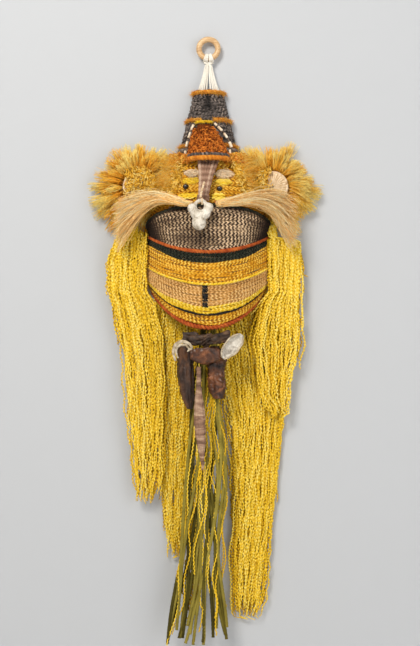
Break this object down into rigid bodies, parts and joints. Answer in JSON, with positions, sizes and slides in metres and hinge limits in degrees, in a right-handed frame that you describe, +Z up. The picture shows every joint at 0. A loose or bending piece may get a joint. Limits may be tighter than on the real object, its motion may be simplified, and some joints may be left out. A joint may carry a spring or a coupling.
{
  "type": "hanging woven fibre mask",
  "caption": "Wall-hung folk mask of woven fibre with a cone hat, round chin, fibre moustache, shaggy ears, seed pods and a long yarn beard, hung from a wooden ring.",
  "frame": {"origin": "centre of the wooden hanging ring", "axes": "+X to the viewer's right, -Y out of the wall towards the viewer, +Z up"},
  "size_m": [0.499, 0.159, 1.331],
  "materials": {
    "ring_wood": "satin turned wood",
    "white_cotton": "twisted cotton cord",
    "charcoal_yarn": "woven matt yarn",
    "orange_yarn": "fuzzy spun yarn",
    "rust_pile": "looped wool pile",
    "gold_yarn": "woven spun yarn",
    "yellow_yarn": "wavy twisted yarn",
    "cream_bead": "matt tubular bead",
    "brown_cord": "twisted cord",
    "grey_weave": "mixed grey and cream weave",
    "rust_cord": "thick wool cord",
    "green_charcoal_yarn": "dark woven yarn",
    "tan_yarn": "woven spun yarn",
    "black_yarn": "matt yarn",
    "white_patch": "coarse stitched weave",
    "seed_black": "polished seed",
    "pale_cane": "split cane",
    "cream_weave": "coiled cream fibre",
    "sisal": "loose sisal fibre",
    "pale_fibre": "combed agave fibre",
    "stone_bone": "pitted matt",
    "pod_brown": "dry seed pod",
    "pod_pale": "dry pale pod",
    "olive_cord": "twisted olive cord"
  },
  "bodies": {
    "ring": {"hanging_ring": "ring_wood"},
    "lashing": {"ring_lashing": "white_cotton"},
    "mask": {"hanging_cords": "white_cotton", "hat_cone": "charcoal_yarn", "hat_top_cord": "orange_yarn", "hat_middle_cord": "orange_yarn", "hat_base_cord": "orange_yarn", "hat_dark_edge": "charcoal_yarn", "forehead_flap": "rust_pile", "flap_top_cord": "yellow_yarn", "flap_dark_hem": "charcoal_yarn", "flap_hem_cord": "orange_yarn", "bead_string_left": "cream_bead", "bead_string_right": "cream_bead", "bead_thread_left": "brown_cord", "bead_thread_right": "brown_cord", "face_panel": "gold_yarn", "brow_patches": "white_patch", "eyelid_patches": "yellow_yarn", "lower_eye_patches": "yellow_yarn", "cheek_patches": "rust_pile", "eyes": "seed_black", "nose_cords": "brown_cord", "cheek_pile_left": "gold_yarn", "cheek_pile_right": "gold_yarn", "mouth_panel": "grey_weave", "mouth_edge_cord": "green_charcoal_yarn", "lip_cord": "rust_cord", "lip_band": "green_charcoal_yarn", "chin_gold_band": "gold_yarn", "chin_tan_band": "tan_yarn", "chin_yellow_band": "yellow_yarn", "chin_black_cord": "black_yarn", "chin_orange_band": "orange_yarn", "chin_border_cord": "rust_cord", "chin_mark": "black_yarn", "cane_hoop": "pale_cane", "back_spreader_upper": "pale_cane", "back_spreader_lower": "pale_cane", "ear_disc_left": "cream_weave", "ear_disc_right": "cream_weave", "ear_tuft_left": "sisal", "ear_tuft_right": "sisal", "pod_tie": "pod_brown", "pod_half_tube": "pod_brown", "pod_shell": "pod_pale"},
    "pendant_cord": {"pendant_cord": "white_cotton"},
    "nose_pendant": {"nose_pendant": "stone_bone"},
    "moustache_left": {"moustache_left": "pale_fibre"},
    "moustache_right": {"moustache_right": "pale_fibre"},
    "fringe_left_outer": {"fringe_left_outer": "yellow_yarn"},
    "fringe_left_inner": {"fringe_left_inner": "yellow_yarn"},
    "fringe_right_outer": {"fringe_right_outer": "yellow_yarn"},
    "fringe_right_inner": {"fringe_right_inner": "yellow_yarn"},
    "green_cords": {"green_cords": "olive_cord", "centre_tassel": "yellow_yarn"},
    "pod_dark": {"pod_dark": "pod_brown"},
    "pod_slender": {"pod_slender": "pod_brown"},
    "pod_crumpled": {"pod_crumpled": "pod_brown"}
  },
  "joints": [
    {"name": "lashing_slide", "type": "hinge", "parent": "ring", "child": "lashing", "pos_m": [0, 0, 0], "axis": [0, 1, 0], "range_deg": [-12, 12], "stiffness_Nm_per_rad": 4},
    {"name": "mask_tilt", "type": "hinge", "parent": "lashing", "child": "mask", "pos_m": [0, 0, -0.036], "axis": [-1, 0, 0], "range_deg": [0, 20], "stiffness_Nm_per_rad": 0.5},
    {"name": "pendant_cord_swing", "type": "hinge", "parent": "mask", "child": "pendant_cord", "pos_m": [-0.016, -0.126, -0.312], "axis": [0, 1, 0], "range_deg": [-10, 10], "stiffness_Nm_per_rad": 0.1},
    {"name": "pendant_swing", "type": "hinge", "parent": "pendant_cord", "child": "nose_pendant", "pos_m": [-0.0165, -0.133, -0.346], "axis": [-1, 0, 0], "range_deg": [0, 50], "stiffness_Nm_per_rad": 0.05},
    {"name": "moustache_left_lift", "type": "hinge", "parent": "mask", "child": "moustache_left", "pos_m": [-0.026, -0.116, -0.351], "axis": [0, 1, 0], "range_deg": [0, 10], "stiffness_Nm_per_rad": 0.5},
    {"name": "moustache_right_lift", "type": "hinge", "parent": "mask", "child": "moustache_right", "pos_m": [0.01, -0.122, -0.352], "axis": [0, -1, 0], "range_deg": [0, 10], "stiffness_Nm_per_rad": 0.5},
    {"name": "fringe_left_outer_swing", "type": "hinge", "parent": "mask", "child": "fringe_left_outer", "pos_m": [-0.15, -0.016, -0.414], "axis": [0, 1, 0], "range_deg": [0, 5], "stiffness_Nm_per_rad": 1},
    {"name": "fringe_left_inner_swing", "type": "hinge", "parent": "mask", "child": "fringe_left_inner", "pos_m": [-0.066, 0.001, -0.59], "axis": [0, 1, 0], "range_deg": [-4, 4], "stiffness_Nm_per_rad": 1},
    {"name": "fringe_right_outer_swing", "type": "hinge", "parent": "mask", "child": "fringe_right_outer", "pos_m": [0.15, -0.016, -0.414], "axis": [0, -1, 0], "range_deg": [0, 5], "stiffness_Nm_per_rad": 1},
    {"name": "fringe_right_inner_swing", "type": "hinge", "parent": "mask", "child": "fringe_right_inner", "pos_m": [0.096, 0.001, -0.59], "axis": [0, 1, 0], "range_deg": [-4, 4], "stiffness_Nm_per_rad": 1},
    {"name": "green_cords_swing", "type": "hinge", "parent": "mask", "child": "green_cords", "pos_m": [-0.008, -0.044, -0.622], "axis": [0, 1, 0], "range_deg": [-5, 5], "stiffness_Nm_per_rad": 1},
    {"name": "pod_dark_swing", "type": "hinge", "parent": "mask", "child": "pod_dark", "pos_m": [-0.05, -0.069, -0.645], "axis": [0, 1, 0], "range_deg": [-5, 5], "stiffness_Nm_per_rad": 0.1},
    {"name": "pod_slender_swing", "type": "hinge", "parent": "mask", "child": "pod_slender", "pos_m": [-0.018, -0.095, -0.693], "axis": [0, 1, 0], "range_deg": [-7, 7], "stiffness_Nm_per_rad": 0.1},
    {"name": "pod_crumpled_swing", "type": "hinge", "parent": "mask", "child": "pod_crumpled", "pos_m": [0.017, -0.067, -0.65], "axis": [0, 1, 0], "range_deg": [-5, 5], "stiffness_Nm_per_rad": 0.1}
  ]
}
